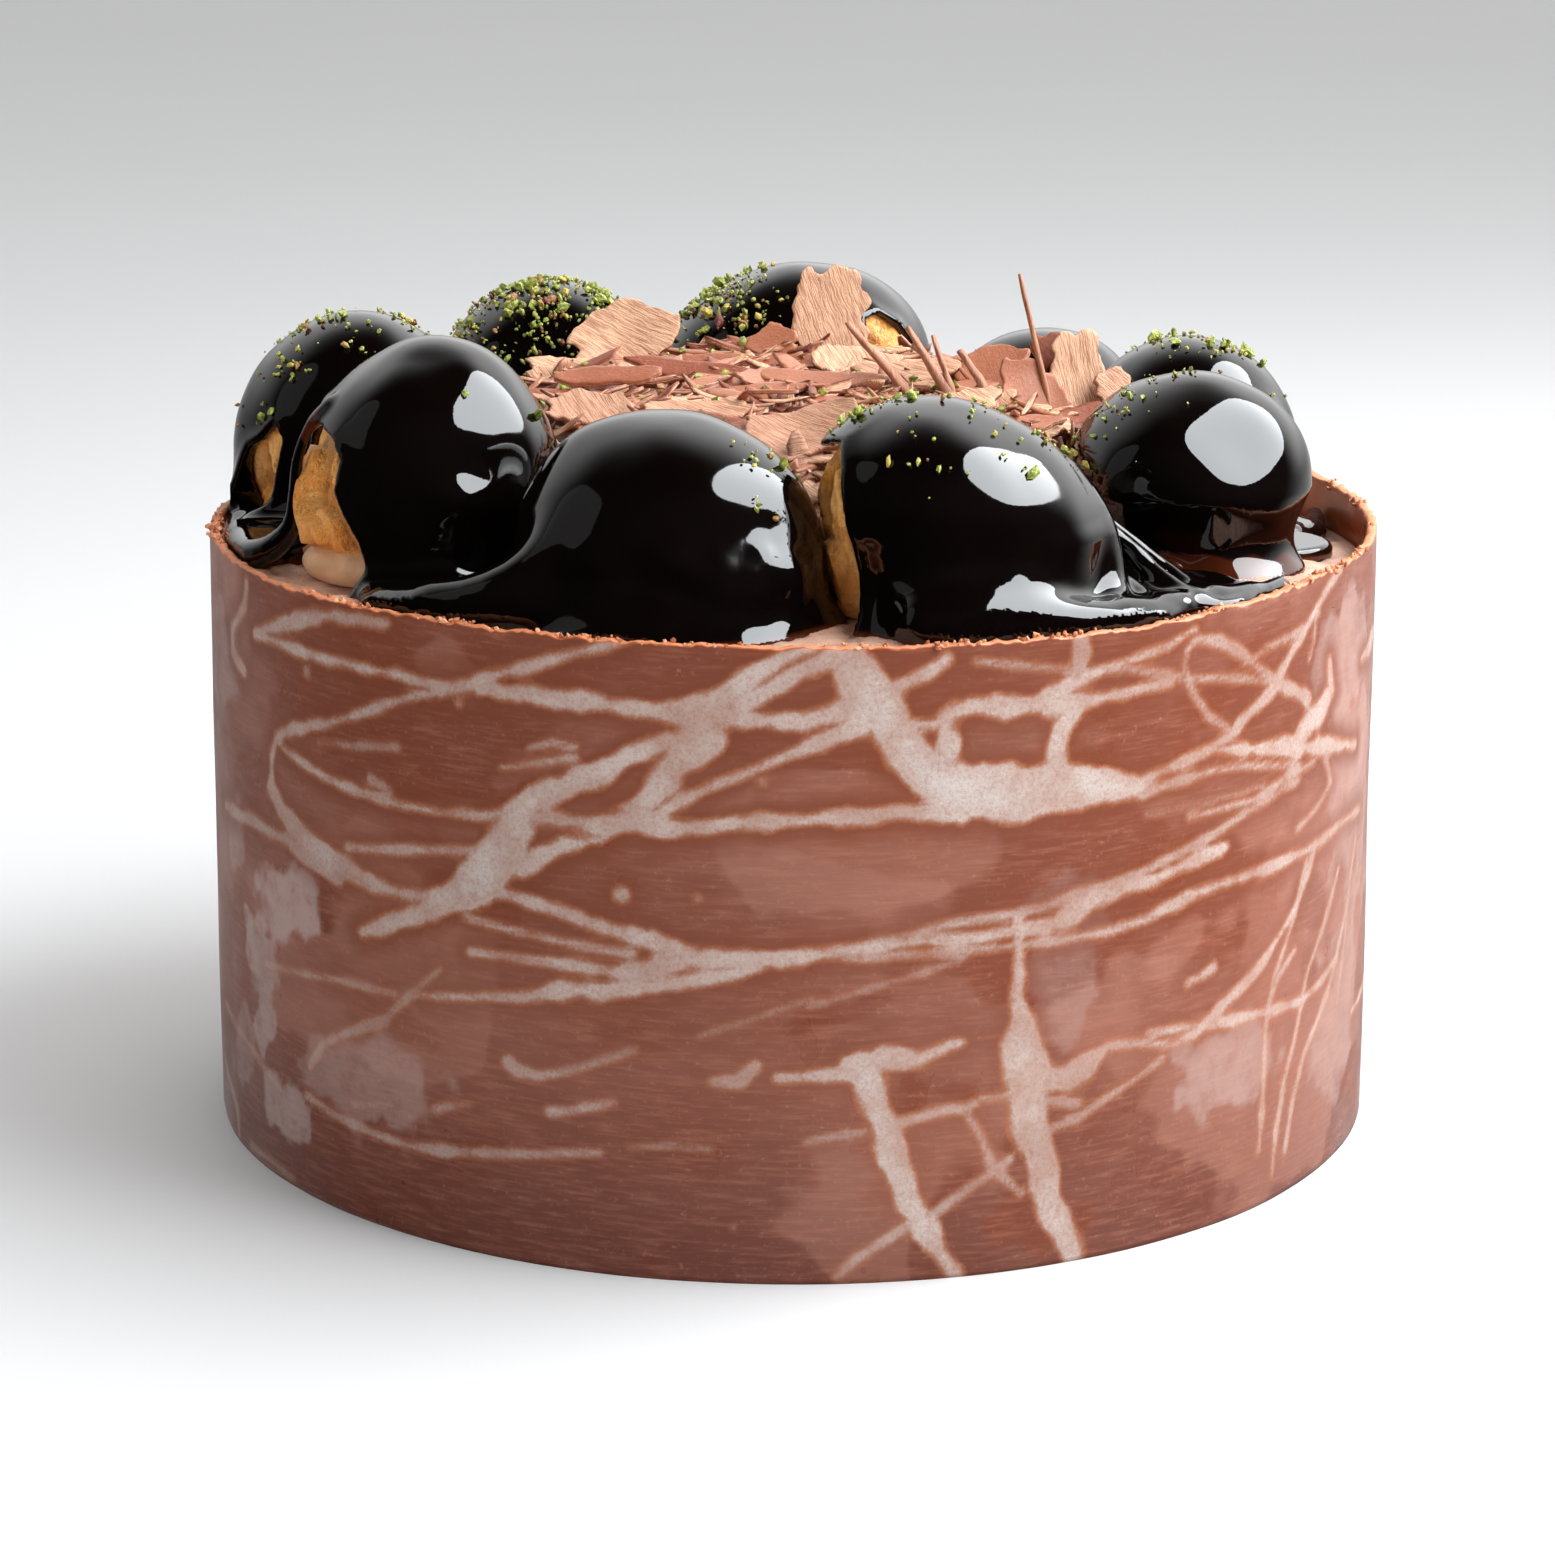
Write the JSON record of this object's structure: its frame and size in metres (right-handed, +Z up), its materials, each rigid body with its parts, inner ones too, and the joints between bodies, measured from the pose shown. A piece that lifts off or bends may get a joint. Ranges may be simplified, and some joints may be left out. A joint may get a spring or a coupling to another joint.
{
  "type": "profiterole cake",
  "caption": "Tall round mousse cake in a marbled chocolate collar, topped with a ring of glazed profiteroles, chocolate shavings and chopped pistachio.",
  "frame": {"origin": "middle of the underside, where the cake rests on the table", "axes": "+Z up; the pictured front faces -Y, and +X is to the right as seen from the front"},
  "size_m": [0.2224, 0.2224, 0.1575],
  "materials": {
    "mousse": "soft matte chocolate mousse, finely pitted",
    "chocolate_collar": "satin milk chocolate sheet with pale translucent marbling",
    "cream": "soft pale cream, slightly wet",
    "choux": "matte golden baked pastry, craggy",
    "glaze": "near black chocolate glaze, wet gloss",
    "shavings": "scraped milk chocolate, finely ridged on one face"
  },
  "bodies": {
    "root": {"cake_body": "mousse", "chocolate_collar": "chocolate_collar", "cream_filling": "cream", "profiterole_1": "choux", "profiterole_2": "choux", "profiterole_3": "choux", "profiterole_4": "choux", "profiterole_5": "choux", "profiterole_6": "choux", "profiterole_7": "choux", "profiterole_8": "choux", "profiterole_9": "choux", "glaze_left": "glaze", "glaze_right": "glaze", "glaze_back_right": "glaze", "glaze_back": "glaze", "chocolate_shavings": "shavings"}
  },
  "joints": []
}
